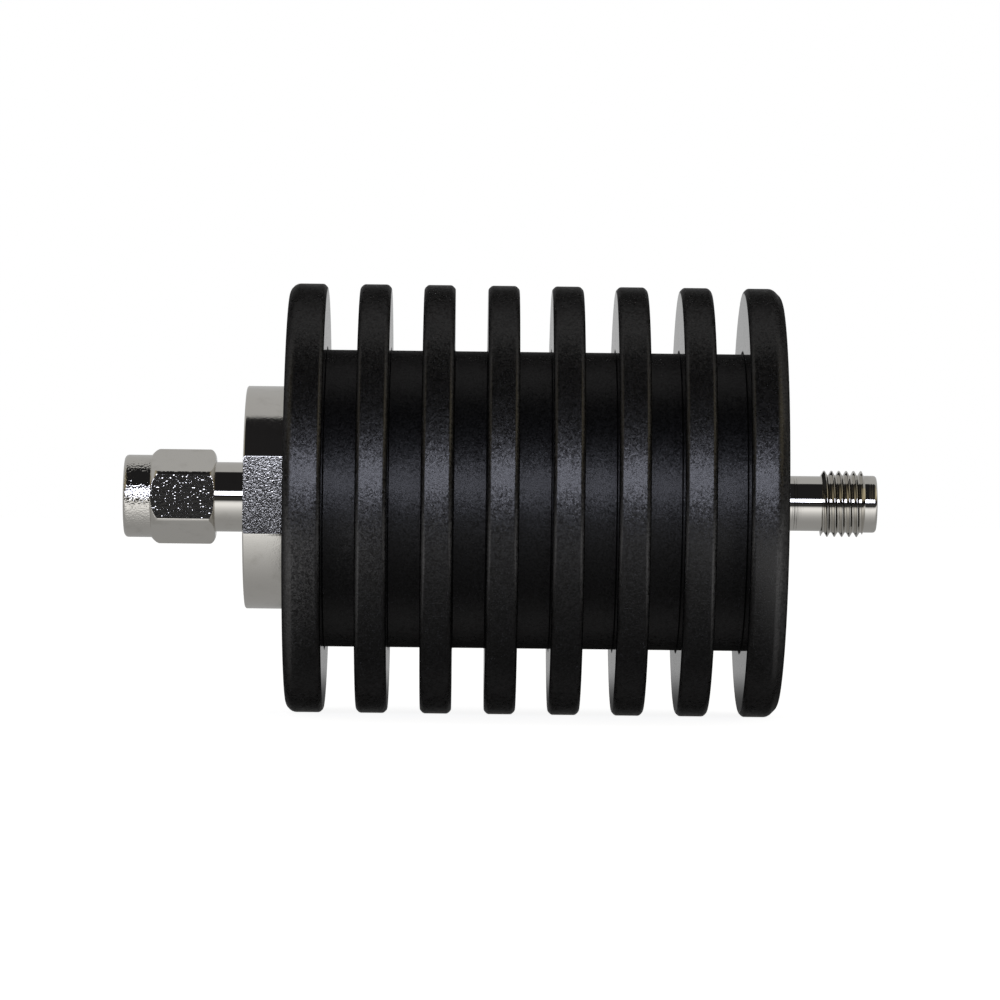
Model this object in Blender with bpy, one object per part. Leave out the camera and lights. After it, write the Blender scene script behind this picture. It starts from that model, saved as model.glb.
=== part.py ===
"""Coaxial attenuator: a ribbed heat sink with a plug on one end and a socket on the other.

Metres, +Z up. Every turned piece has the X axis as its axis. The origin is the centre of the
plug's reference plane, the plug points along -X and the socket along +X.
"""

import math

import bmesh
import bpy

MM = 0.001
INCH = 25.4 * MM

# Clearances, each on one side
SEAT_GAP = 0.05 * MM
BORE_FIT = 0.05 * MM
LINE_FIT = 0.03 * MM
RUNNING_FIT = 0.08 * MM

# Coaxial line through both connectors, from its bore outwards
LINE_BORE = 4.13 * MM
CONDUCTOR_DIAMETER = 1.27 * MM
SLEEVE_WALL = 0.225 * MM
SOCKET_ENTRY_FIT = 0.025 * MM

# Plug body
SLEEVE_LENGTH = 2.4 * MM
PLUG_WALL = 1.26 * MM
NECK_SHOWN = 2.93 * MM
FLANGE_DIAMETER = 21.3 * MM
FLANGE_THICKNESS = 3.95 * MM
FLANGE_EDGE = 0.12 * MM
FLAT_DEPTH = 0.65 * MM
FLANGE_TURN = math.radians(-1.2)
SPIGOT_LENGTH = 3.5 * MM
SPIGOT_EDGE = 0.4 * MM
NOSE_DIAMETER = 8.0 * MM

# Coupling nut, its snap ring and its gasket
NUT_OVERHANG = 2.9 * MM
NUT_LENGTH = 8.72 * MM
NUT_WALL = 0.53 * MM
COLLAR_LENGTH = 2.6 * MM
COLLAR_ROUNDING = 0.43 * MM
HEX_STEP = 0.035 * MM
CORNER_BREAK = 0.07 * MM
HEX_ROUNDING_LENGTH = 0.8 * MM
RIM_WALL = 0.49 * MM
RIM_ROUNDING_LENGTH = 0.55 * MM
NUT_ENTRY_LENGTH = 0.45 * MM
NUT_ENTRY_DEPTH = 0.45 * MM
NUT_RELIEF_GAP = 0.4 * MM
RING_WIDTH = 0.55 * MM
RING_SETBACK = 1.7 * MM
RING_GROOVE_DEPTH = 0.525 * MM
RING_ENGAGEMENT = 0.145 * MM
RING_OPENING = math.radians(24)
GASKET_THICKNESS = 0.45 * MM
GASKET_SETBACK = 0.225 * MM

# Heat sink
FIN_COUNT = 8
FIN_DIAMETER = 41.0 * MM
FIN_THICKNESS = 3.0 * MM
END_FIN_THICKNESS = 3.6 * MM
GROOVE_WIDTH = 3.1 * MM
CORE_DIAMETER = 28.4 * MM
FIN_EDGE = 0.35 * MM
PLUG_END_EDGE = 0.65 * MM
SOCKET_END_EDGE = 0.9 * MM
SINK_BORE = 17.0 * MM
END_WALL = 4.0 * MM

# Socket body; a thread's rise is the change of diameter from root to crest, in pitches
SHOULDER_THICKNESS = 2.0 * MM
SHOULDER_WIDTH = 2.1 * MM
SOCKET_NECK_WALL = 0.56 * MM
SOCKET_NECK_SHOWN = 4.25 * MM
THREAD_LENGTH = 4.1 * MM
THREADS_PER_INCH = 36
THREAD_PITCH = INCH / THREADS_PER_INCH
THREAD_FIRST_CREST = 0.32 * MM
THREAD_RUNOUT = 0.3 * MM
THREAD_ROOT_STEP = 0.017 * MM
THREAD_RISE = 1.2269
NUT_THREAD_RISE = 1.0825
PILOT_LENGTH = 1.0 * MM
PILOT_WALL = 0.41 * MM
PILOT_ROUNDING = 0.3 * MM
COUNTERBORE_DEPTH = 1.93 * MM
COUNTERBORE_EDGE = 0.05 * MM

# Centre conductors
PIN_TIP_DIAMETER = 0.92 * MM
PIN_TIP_LENGTH = 2.3 * MM
PIN_TIP_TAPER = 0.4 * MM
PIN_TIP_NOSE = 0.4 * MM
CONDUCTOR_SETBACK = 0.05 * MM
CONDUCTOR_REACH = 2.2 * MM
CONTACT_BORE_FIT = 0.01 * MM
CONTACT_BORE_DEPTH = 3.0 * MM
CONTACT_SLOT_LENGTH = 2.4 * MM
CONTACT_SLOT_WIDTH = 0.15 * MM

# Element and the carrier round it
SUBSTRATE_WIDTH = 5.0 * MM
SUBSTRATE_THICKNESS = 1.0 * MM
SUBSTRATE_INSET = 0.8 * MM
TAB_LENGTH = 3.0 * MM
TAB_WIDTH = 1.2 * MM
TAB_THICKNESS = 0.15 * MM
TAB_INSET = 0.3 * MM
WASHER_HEIGHT = 0.9 * MM
WASHER_THICKNESS = 0.3 * MM
WASHER_CLEARANCE = 0.5 * MM
WASHER_WAVES = 3

# Carrier screws, M2 with a socket head
SCREW_DIAMETER = 2.0 * MM
SCREW_LENGTH = 6.0 * MM
SCREW_HEAD_DIAMETER = 3.8 * MM
SCREW_HEAD_HEIGHT = 2.0 * MM
SCREW_SOCKET = 1.5 * MM
SCREW_SOCKET_DEPTH = 1.0 * MM
SCREW_EDGE = 0.15 * MM
SCREW_SEAT_HEIGHT = 1.6 * MM
SCREW_END_DISTANCE = 4.5 * MM
SCREW_MARGIN = 0.2 * MM
SCREW_HEAD_FIT = 0.15 * MM
SCREW_TIP_GAP = 0.5 * MM

# Facets and welding
LARGE_SEGMENTS = 48
FINE_SEGMENTS = 36
LINE_SEGMENTS = 24
SCREW_SEGMENTS = 12
ROUNDING_STEPS = 3
CARRIER_ARC_STEPS = 20
WELD = 0.001 * MM
SMOOTH_ANGLE = math.radians(35)

# Diameters that follow from the line bore
SLEEVE_DIAMETER = LINE_BORE + 2 * SLEEVE_WALL
NECK_DIAMETER = LINE_BORE + 2 * PLUG_WALL
COUNTERBORE_DIAMETER = SLEEVE_DIAMETER + 2 * SOCKET_ENTRY_FIT
PILOT_DIAMETER = COUNTERBORE_DIAMETER + 2 * PILOT_WALL
SOCKET_NECK_DIAMETER = LINE_BORE + 2 * SOCKET_NECK_WALL
SHOULDER_DIAMETER = SOCKET_NECK_DIAMETER + 2 * SHOULDER_WIDTH
THREAD_ROOT = PILOT_DIAMETER + 2 * THREAD_ROOT_STEP
THREAD_CREST = THREAD_ROOT + THREAD_RISE * THREAD_PITCH
DIELECTRIC_DIAMETER = LINE_BORE - 2 * LINE_FIT
DIELECTRIC_BORE = CONDUCTOR_DIAMETER + 2 * LINE_FIT

# Diameters of the nut, its ring and its gasket
NUT_BORE = NECK_DIAMETER + 2 * RUNNING_FIT
NUT_THREAD_BORE = THREAD_CREST - NUT_THREAD_RISE * THREAD_PITCH
COLLAR_DIAMETER = NUT_BORE + 2 * NUT_WALL
HEX_ACROSS_FLATS = COLLAR_DIAMETER + 2 * HEX_STEP
HEX_ACROSS_CORNERS = HEX_ACROSS_FLATS / math.cos(math.pi / 6)
HEX_TURNED_DIAMETER = HEX_ACROSS_CORNERS - 2 * CORNER_BREAK
RIM_DIAMETER = NUT_BORE + 2 * RIM_WALL
RING_GROOVE_FLOOR = NECK_DIAMETER - 2 * RING_GROOVE_DEPTH
RING_INNER = RING_GROOVE_FLOOR + 2 * BORE_FIT
RING_OUTER = NUT_BORE + 2 * RING_ENGAGEMENT

# Stations along the axis, from the plug to the socket
NUT_FRONT_X = -NUT_OVERHANG
NUT_BACK_X = NUT_FRONT_X + NUT_LENGTH
RING_X = NUT_BACK_X - RING_SETBACK
GASKET_X = SLEEVE_LENGTH - SEAT_GAP - GASKET_THICKNESS
FLANGE_FRONT_X = NUT_BACK_X + NECK_SHOWN
FLANGE_BACK_X = FLANGE_FRONT_X + FLANGE_THICKNESS
SPIGOT_BACK_X = FLANGE_BACK_X + SPIGOT_LENGTH
WASHER_X = SPIGOT_BACK_X + SEAT_GAP
CARRIER_FRONT_X = WASHER_X + WASHER_HEIGHT + SEAT_GAP
NOSE_BACK_X = CARRIER_FRONT_X - SEAT_GAP
SINK_LENGTH = (
    2 * END_FIN_THICKNESS + (FIN_COUNT - 2) * FIN_THICKNESS + (FIN_COUNT - 1) * GROOVE_WIDTH
)
SINK_FRONT_X = FLANGE_BACK_X + SEAT_GAP
SINK_BACK_X = SINK_FRONT_X + SINK_LENGTH
SHOULDER_BACK_X = SINK_BACK_X - END_WALL - SEAT_GAP
SHOULDER_FRONT_X = SHOULDER_BACK_X - SHOULDER_THICKNESS
CARRIER_BACK_X = SHOULDER_FRONT_X - SEAT_GAP
CARRIER_LENGTH = CARRIER_BACK_X - CARRIER_FRONT_X
THREAD_START_X = SINK_BACK_X + SOCKET_NECK_SHOWN
PILOT_START_X = THREAD_START_X + THREAD_LENGTH
SOCKET_FRONT_X = PILOT_START_X + PILOT_LENGTH
SOCKET_PLANE_X = SOCKET_FRONT_X - COUNTERBORE_DEPTH

# Heights in the carrier, below the conductors
TAB_TOP_Z = -CONDUCTOR_DIAMETER / 2 - SEAT_GAP
TAB_BOTTOM_Z = TAB_TOP_Z - TAB_THICKNESS
SUBSTRATE_TOP_Z = TAB_BOTTOM_Z - SEAT_GAP
SUBSTRATE_BOTTOM_Z = SUBSTRATE_TOP_Z - SUBSTRATE_THICKNESS
CHANNEL_FLOOR_Z = SUBSTRATE_BOTTOM_Z - SEAT_GAP
CHANNEL_CEILING_Z = LINE_BORE / 2
CHANNEL_HALF_WIDTH = SUBSTRATE_WIDTH / 2 + SEAT_GAP
CARRIER_RADIUS = SINK_BORE / 2 - BORE_FIT

# Places of the carrier screws
SCREW_HEAD_BASE_Z = SCREW_SEAT_HEIGHT + SEAT_GAP
SCREW_HEAD_TOP_Z = SCREW_HEAD_BASE_Z + SCREW_HEAD_HEIGHT
SCREW_Y = (
    math.sqrt(CARRIER_RADIUS**2 - SCREW_HEAD_TOP_Z**2) - SCREW_HEAD_DIAMETER / 2 - SCREW_MARGIN
)
SCREW_PLACES = [
    (x, y)
    for x in (CARRIER_FRONT_X + SCREW_END_DISTANCE, CARRIER_BACK_X - SCREW_END_DISTANCE)
    for y in (-SCREW_Y, SCREW_Y)
]

# Finishes
BLACK_ANODISED = {"colour": (0.016, 0.016, 0.019), "roughness": 0.5, "metallic": 0.3}
NICKEL = {"colour": (0.66, 0.64, 0.60), "roughness": 0.2, "metallic": 1.0}
SPRING_STEEL = {"colour": (0.55, 0.55, 0.56), "roughness": 0.3, "metallic": 1.0}
BRONZE_SPRING = {"colour": (0.72, 0.48, 0.28), "roughness": 0.3, "metallic": 1.0}
GOLD_PLATE = {"colour": (0.90, 0.68, 0.32), "roughness": 0.25, "metallic": 1.0}
BARE_ALUMINIUM = {"colour": (0.76, 0.77, 0.79), "roughness": 0.35, "metallic": 1.0}
WHITE_INSULATOR = {"colour": (0.88, 0.88, 0.86), "roughness": 0.45, "metallic": 0.0}
RED_RUBBER = {"colour": (0.50, 0.07, 0.04), "roughness": 0.6, "metallic": 0.0}
CERAMIC = {"colour": (0.85, 0.84, 0.80), "roughness": 0.55, "metallic": 0.0}


def clear_scene():
    for item in list(bpy.data.objects):
        bpy.data.objects.remove(item)


def add_object(name, shape, location):
    """Welds, closes and links a shape as an object whose origin is on its axis."""
    bmesh.ops.remove_doubles(shape, verts=shape.verts, dist=WELD)
    bmesh.ops.recalc_face_normals(shape, faces=shape.faces)
    mesh = bpy.data.meshes.new(name)
    shape.to_mesh(mesh)
    shape.free()
    mesh.shade_smooth()
    mesh.set_sharp_from_angle(angle=SMOOTH_ANGLE)
    item = bpy.data.objects.new(name, mesh)
    item.location = location
    bpy.context.scene.collection.objects.link(item)
    return item


def revolved(name, outline_at, segments, location=(0, 0, 0), opening=0.0):
    """Carries an outline of (station, diameter) points round the X axis, from the top.

    outline_at takes the share of the turn made so far, so that a thread or a wave can advance
    with it. opening is the angle left out at the top, as in a split ring.
    """
    shape = bmesh.new()
    columns = []
    for step in range(segments + 1):
        share = step / segments
        angle = opening / 2 + (2 * math.pi - opening) * share
        columns.append(
            [
                shape.verts.new(
                    (station, -math.sin(angle) * diameter / 2, math.cos(angle) * diameter / 2)
                )
                for station, diameter in outline_at(share)
            ]
        )
    for near, far in zip(columns, columns[1:]):
        for index in range(len(near)):
            shape.faces.new((near[index - 1], near[index], far[index], far[index - 1]))
    if opening:
        shape.faces.new(columns[0])
        shape.faces.new(reversed(columns[-1]))
    return add_object(name, shape, location)


def turned(name, outline, segments, location=(0, 0, 0), opening=0.0):
    """A revolved piece whose outline is the same all the way round."""
    return revolved(name, lambda share: outline, segments, location, opening)


def extruded(name, outline, length, location):
    """Carries an outline of (y, z) points along the X axis."""
    shape = bmesh.new()
    near = [shape.verts.new((0, y, z)) for y, z in outline]
    far = [shape.verts.new((length, y, z)) for y, z in outline]
    shape.faces.new(near)
    shape.faces.new(reversed(far))
    for index in range(len(near)):
        shape.faces.new((near[index - 1], near[index], far[index], far[index - 1]))
    return add_object(name, shape, location)


def block(name, length, y_low, y_high, z_low, z_high, location):
    outline = [(y_low, z_low), (y_high, z_low), (y_high, z_high), (y_low, z_high)]
    return extruded(name, outline, length, location)


def cut(piece, cutter):
    """Takes the cutter's volume out of the piece, and leaves the cutter as a wire guide."""
    cutter.hide_render = True
    cutter.display_type = "WIRE"
    modifier = piece.modifiers.new(cutter.name, "BOOLEAN")
    modifier.operation = "DIFFERENCE"
    modifier.solver = "EXACT"
    modifier.object = cutter


def coat(piece, finish):
    """Gives the piece a material of its own with this finish."""
    material = bpy.data.materials.new(piece.name)
    material.use_nodes = True
    material.diffuse_color = (*finish["colour"], 1)
    shader = material.node_tree.nodes["Principled BSDF"]
    shader.inputs["Base Color"].default_value = (*finish["colour"], 1)
    shader.inputs["Roughness"].default_value = finish["roughness"]
    shader.inputs["Metallic"].default_value = finish["metallic"]
    piece.data.materials.append(material)
    return piece


def front_rounding(station, diameter, radial, axial):
    """Quarter of an ellipse from an end face that looks along -X out to the diameter."""
    narrowing = 2 * radial
    points = []
    for step in range(ROUNDING_STEPS + 1):
        angle = math.pi / 2 * step / ROUNDING_STEPS
        points.append(
            (
                station + axial * (1 - math.cos(angle)),
                diameter - narrowing * (1 - math.sin(angle)),
            )
        )
    return points


def back_rounding(station, diameter, radial, axial):
    """The same from the diameter in to an end face that looks along +X."""
    return front_rounding(station, diameter, radial, -axial)[::-1]


def hexagon(across_flats, share):
    """Diameter of a hexagon with a corner at the top, at this share of the turn."""
    from_flat = (share * 2 * math.pi) % (math.pi / 3) - math.pi / 6
    return across_flats / math.cos(from_flat)


def heat_sink():
    outline = []
    station = 0.0
    for index in range(FIN_COUNT):
        first = index == 0
        last = index == FIN_COUNT - 1
        thickness = END_FIN_THICKNESS if first or last else FIN_THICKNESS
        front_edge = PLUG_END_EDGE if first else FIN_EDGE
        back_edge = SOCKET_END_EDGE if last else FIN_EDGE
        back = station + thickness
        outline += [
            (station, SINK_BORE if first else CORE_DIAMETER),
            (station, FIN_DIAMETER - 2 * front_edge),
            (station + front_edge, FIN_DIAMETER),
            (back - back_edge, FIN_DIAMETER),
            (back, FIN_DIAMETER - 2 * back_edge),
            (back, SOCKET_NECK_DIAMETER + 2 * BORE_FIT if last else CORE_DIAMETER),
        ]
        station = back + GROOVE_WIDTH
    outline += [
        (SINK_LENGTH - END_WALL, SOCKET_NECK_DIAMETER + 2 * BORE_FIT),
        (SINK_LENGTH - END_WALL, SINK_BORE),
    ]
    return turned("heat_sink", outline, LARGE_SEGMENTS, (SINK_FRONT_X, 0, 0))


def male_connector_body():
    ring_front = RING_X - RING_WIDTH / 2 - SEAT_GAP
    ring_back = RING_X + RING_WIDTH / 2 + SEAT_GAP
    spigot = SINK_BORE - 2 * BORE_FIT
    outline = [
        (0, LINE_BORE),
        (0, SLEEVE_DIAMETER),
        (SLEEVE_LENGTH, SLEEVE_DIAMETER),
        (SLEEVE_LENGTH, NECK_DIAMETER),
        (ring_front, NECK_DIAMETER),
        (ring_front, RING_GROOVE_FLOOR),
        (ring_back, RING_GROOVE_FLOOR),
        (ring_back, NECK_DIAMETER),
        (FLANGE_FRONT_X, NECK_DIAMETER),
        (FLANGE_FRONT_X, FLANGE_DIAMETER - 2 * FLANGE_EDGE),
        (FLANGE_FRONT_X + FLANGE_EDGE, FLANGE_DIAMETER),
        (FLANGE_BACK_X - FLANGE_EDGE, FLANGE_DIAMETER),
        (FLANGE_BACK_X, FLANGE_DIAMETER - 2 * FLANGE_EDGE),
        (FLANGE_BACK_X, spigot),
        (SPIGOT_BACK_X - SPIGOT_EDGE, spigot),
        (SPIGOT_BACK_X, spigot - 2 * SPIGOT_EDGE),
        (SPIGOT_BACK_X, NOSE_DIAMETER),
        (NOSE_BACK_X, NOSE_DIAMETER),
        (NOSE_BACK_X, LINE_BORE),
    ]
    body = turned("male_connector_body", outline, LARGE_SEGMENTS)
    flat = FLANGE_DIAMETER / 2 - FLAT_DEPTH
    outside = FLANGE_DIAMETER
    for side, place in ((-1, "front"), (1, "back")):
        near, far = sorted((side * flat, side * outside))
        cutter = block(
            f"flat_cutter_{place}",
            FLANGE_THICKNESS + 2 * SEAT_GAP,
            near,
            far,
            -outside,
            outside,
            (FLANGE_FRONT_X - SEAT_GAP, 0, 0),
        )
        cutter.parent = body
        cut(body, cutter)
    body.rotation_euler.x = FLANGE_TURN
    return body


def coupling_nut():
    relief = GASKET_X - NUT_RELIEF_GAP - NUT_FRONT_X
    ring_groove = RING_OUTER + 2 * BORE_FIT
    ring_front = RING_X - RING_WIDTH / 2 - SEAT_GAP - NUT_FRONT_X
    ring_back = RING_X + RING_WIDTH / 2 + SEAT_GAP - NUT_FRONT_X
    entry = NUT_THREAD_BORE + 2 * NUT_ENTRY_DEPTH
    front_depth = (HEX_TURNED_DIAMETER - COLLAR_DIAMETER) / 2
    rim_depth = (HEX_TURNED_DIAMETER - RIM_DIAMETER) / 2
    outline = [
        (0, entry),
        *front_rounding(0, COLLAR_DIAMETER, COLLAR_ROUNDING, COLLAR_ROUNDING),
        *front_rounding(COLLAR_LENGTH, HEX_TURNED_DIAMETER, front_depth, HEX_ROUNDING_LENGTH),
        *back_rounding(NUT_LENGTH, HEX_TURNED_DIAMETER, rim_depth, RIM_ROUNDING_LENGTH),
        (NUT_LENGTH, NUT_BORE),
        (ring_back, NUT_BORE),
        (ring_back, ring_groove),
        (ring_front, ring_groove),
        (ring_front, NUT_BORE),
        (relief, NUT_BORE),
        (relief, NUT_THREAD_BORE),
        (NUT_ENTRY_LENGTH, NUT_THREAD_BORE),
    ]
    nut = turned("coupling_nut", outline, FINE_SEGMENTS, (NUT_FRONT_X, 0, 0))
    milled = [
        (COLLAR_LENGTH, HEX_ACROSS_CORNERS),
        (COLLAR_LENGTH, 2 * HEX_ACROSS_CORNERS),
        (NUT_LENGTH + COLLAR_LENGTH, 2 * HEX_ACROSS_CORNERS),
        (NUT_LENGTH + COLLAR_LENGTH, HEX_ACROSS_CORNERS),
    ]
    cutter = turned("hexagon_cutter", milled, 6)
    cutter.parent = nut
    cut(nut, cutter)
    return nut


def nut_snap_ring():
    outline = [
        (-RING_WIDTH / 2, RING_INNER),
        (-RING_WIDTH / 2, RING_OUTER),
        (RING_WIDTH / 2, RING_OUTER),
        (RING_WIDTH / 2, RING_INNER),
    ]
    return turned("nut_snap_ring", outline, FINE_SEGMENTS, (RING_X, 0, 0), RING_OPENING)


def nut_gasket():
    inner = SLEEVE_DIAMETER + 2 * BORE_FIT
    outer = NECK_DIAMETER - 2 * GASKET_SETBACK
    outline = [(0, inner), (0, outer), (GASKET_THICKNESS, outer), (GASKET_THICKNESS, inner)]
    return turned("nut_gasket", outline, FINE_SEGMENTS, (GASKET_X, 0, 0))


def dielectric(name, front, back):
    """Insulator that fills the line from one station to another."""
    length = back - front
    outline = [
        (0, DIELECTRIC_BORE),
        (0, DIELECTRIC_DIAMETER),
        (length, DIELECTRIC_DIAMETER),
        (length, DIELECTRIC_BORE),
    ]
    return turned(name, outline, LINE_SEGMENTS, (front, 0, 0))


def male_center_pin():
    end = CARRIER_FRONT_X + CONDUCTOR_REACH
    outline = [
        (-PIN_TIP_LENGTH, 0),
        (-PIN_TIP_LENGTH, PIN_TIP_NOSE),
        (-PIN_TIP_LENGTH + PIN_TIP_TAPER, PIN_TIP_DIAMETER),
        (CONDUCTOR_SETBACK, PIN_TIP_DIAMETER),
        (CONDUCTOR_SETBACK, CONDUCTOR_DIAMETER),
        (end, CONDUCTOR_DIAMETER),
        (end, 0),
    ]
    return turned("male_center_pin", outline, LINE_SEGMENTS)


def thread(share):
    """Right-hand external thread, from its start, that runs out into the pieces beside it."""
    crest_flat = THREAD_PITCH / 8
    root_flat = THREAD_PITCH / 4
    tooth = [
        (-crest_flat / 2, THREAD_CREST),
        (crest_flat / 2, THREAD_CREST),
        ((THREAD_PITCH - root_flat) / 2, THREAD_ROOT),
        ((THREAD_PITCH + root_flat) / 2, THREAD_ROOT),
    ]
    points = []
    for turn in range(-2, math.ceil(THREAD_LENGTH / THREAD_PITCH) + 1):
        crest = THREAD_FIRST_CREST + (turn + share) * THREAD_PITCH
        for offset, diameter in tooth:
            station = min(max(crest + offset, 0), THREAD_LENGTH)
            start = min(station / THREAD_RUNOUT, 1)
            end = min((THREAD_LENGTH - station) / THREAD_RUNOUT, 1)
            limit = min(
                SOCKET_NECK_DIAMETER + (THREAD_CREST - SOCKET_NECK_DIAMETER) * start,
                PILOT_DIAMETER + (THREAD_CREST - PILOT_DIAMETER) * end,
            )
            points.append((station, min(diameter, limit)))
    return points


def female_connector_body():
    neck = SHOULDER_THICKNESS
    thread_start = THREAD_START_X - SHOULDER_FRONT_X
    front = SOCKET_FRONT_X - SHOULDER_FRONT_X
    plane = SOCKET_PLANE_X - SHOULDER_FRONT_X
    inside_end = [
        (0, LINE_BORE),
        (0, SHOULDER_DIAMETER),
        (neck, SHOULDER_DIAMETER),
        (neck, SOCKET_NECK_DIAMETER),
    ]
    socket_end = [
        *back_rounding(front, PILOT_DIAMETER, PILOT_ROUNDING, PILOT_ROUNDING),
        (front, COUNTERBORE_DIAMETER + 2 * COUNTERBORE_EDGE),
        (front - COUNTERBORE_EDGE, COUNTERBORE_DIAMETER),
        (plane, COUNTERBORE_DIAMETER),
        (plane, LINE_BORE),
    ]

    def outline(share):
        teeth = [(thread_start + station, diameter) for station, diameter in thread(share)]
        return inside_end + teeth + socket_end

    return revolved("female_connector_body", outline, FINE_SEGMENTS, (SHOULDER_FRONT_X, 0, 0))


def female_center_contact():
    front = SOCKET_PLANE_X - CONDUCTOR_SETBACK
    length = front - (CARRIER_BACK_X - CONDUCTOR_REACH)
    bore = PIN_TIP_DIAMETER + 2 * CONTACT_BORE_FIT
    outline = [
        (0, 0),
        (0, CONDUCTOR_DIAMETER),
        (length, CONDUCTOR_DIAMETER),
        (length, bore),
        (length - CONTACT_BORE_DEPTH, bore),
        (length - CONTACT_BORE_DEPTH, 0),
    ]
    contact = turned("female_center_contact", outline, LINE_SEGMENTS, (front - length, 0, 0))
    wide = CONDUCTOR_DIAMETER
    narrow = CONTACT_SLOT_WIDTH / 2
    for name, across, up in (("level", wide, narrow), ("upright", narrow, wide)):
        cutter = block(
            f"slot_cutter_{name}",
            CONTACT_SLOT_LENGTH + wide,
            -across,
            across,
            -up,
            up,
            (length - CONTACT_SLOT_LENGTH, 0, 0),
        )
        cutter.parent = contact
        cut(contact, cutter)
    return contact


def wave_spring_washer():
    inner = NOSE_DIAMETER + 2 * WASHER_CLEARANCE
    outer = SINK_BORE - 2 * WASHER_CLEARANCE
    lift = (WASHER_HEIGHT - WASHER_THICKNESS) / 2

    def outline(share):
        station = lift * (1 - math.cos(2 * math.pi * WASHER_WAVES * share))
        return [
            (station, inner),
            (station, outer),
            (station + WASHER_THICKNESS, outer),
            (station + WASHER_THICKNESS, inner),
        ]

    return revolved("wave_spring_washer", outline, LARGE_SEGMENTS, (WASHER_X, 0, 0))


def screw_hole_cutters():
    """Stepped holes for the carrier screws, through the cap and into the lower half."""
    depth = SCREW_LENGTH + SCREW_TIP_GAP
    shank = SCREW_DIAMETER + 2 * SEAT_GAP
    head = SCREW_HEAD_DIAMETER + 2 * SCREW_HEAD_FIT
    outline = [
        (-depth, 0),
        (-depth, shank),
        (0, shank),
        (0, head),
        (CARRIER_RADIUS, head),
        (CARRIER_RADIUS, 0),
    ]
    cutters = []
    for number, (x, y) in enumerate(SCREW_PLACES, 1):
        place = (x, y, SCREW_SEAT_HEIGHT)
        cutter = turned(f"screw_hole_cutter_{number}", outline, SCREW_SEGMENTS, place)
        cutter.rotation_euler.y = -math.pi / 2
        cutters.append(cutter)
    return cutters


def carrier_half(name, side, channel_depth):
    """Half of a split cylinder with half of the channel; side is 1 for the upper half."""
    split = SEAT_GAP / 2
    start = math.asin(split / CARRIER_RADIUS)
    outline = []
    for step in range(CARRIER_ARC_STEPS + 1):
        angle = start + (math.pi - 2 * start) * step / CARRIER_ARC_STEPS
        outline.append(
            (CARRIER_RADIUS * math.cos(angle), side * CARRIER_RADIUS * math.sin(angle))
        )
    outline += [
        (-CHANNEL_HALF_WIDTH, side * split),
        (-CHANNEL_HALF_WIDTH, side * channel_depth),
        (CHANNEL_HALF_WIDTH, side * channel_depth),
        (CHANNEL_HALF_WIDTH, side * split),
    ]
    return extruded(name, outline, CARRIER_LENGTH, (CARRIER_FRONT_X, 0, 0))


def carrier_screws():
    head = SCREW_HEAD_HEIGHT
    socket_floor = head - SCREW_SOCKET_DEPTH

    def outline(share):
        socket = hexagon(SCREW_SOCKET, share)
        return [
            (-SCREW_LENGTH, 0),
            (-SCREW_LENGTH, SCREW_DIAMETER - 2 * SCREW_EDGE),
            (-SCREW_LENGTH + SCREW_EDGE, SCREW_DIAMETER),
            (0, SCREW_DIAMETER),
            (0, SCREW_HEAD_DIAMETER),
            (head - SCREW_EDGE, SCREW_HEAD_DIAMETER),
            (head, SCREW_HEAD_DIAMETER - 2 * SCREW_EDGE),
            (head, socket),
            (socket_floor, socket),
            (socket_floor, 0),
        ]

    first = revolved("carrier_screw_1", outline, SCREW_SEGMENTS)
    screws = [first]
    for number in range(2, len(SCREW_PLACES) + 1):
        screw = bpy.data.objects.new(f"carrier_screw_{number}", first.data)
        bpy.context.scene.collection.objects.link(screw)
        screws.append(screw)
    for screw, (x, y) in zip(screws, SCREW_PLACES):
        screw.location = (x, y, SCREW_HEAD_BASE_Z)
        screw.rotation_euler.y = -math.pi / 2
    return screws


def attenuator_substrate():
    half = SUBSTRATE_WIDTH / 2
    place = (CARRIER_FRONT_X + SUBSTRATE_INSET, 0, 0)
    length = CARRIER_LENGTH - 2 * SUBSTRATE_INSET
    return block(
        "attenuator_substrate", length, -half, half, SUBSTRATE_BOTTOM_Z, SUBSTRATE_TOP_Z, place
    )


def tab(name, station):
    """Ribbon under the end of a centre conductor, on top of the substrate."""
    half = TAB_WIDTH / 2
    return block(name, TAB_LENGTH, -half, half, TAB_BOTTOM_Z, TAB_TOP_Z, (station, 0, 0))


def add_joint_empty(name):
    """Empty on the axis that the pieces of one body turn about."""
    empty = bpy.data.objects.new(name, None)
    bpy.context.scene.collection.objects.link(empty)
    return empty


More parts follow.
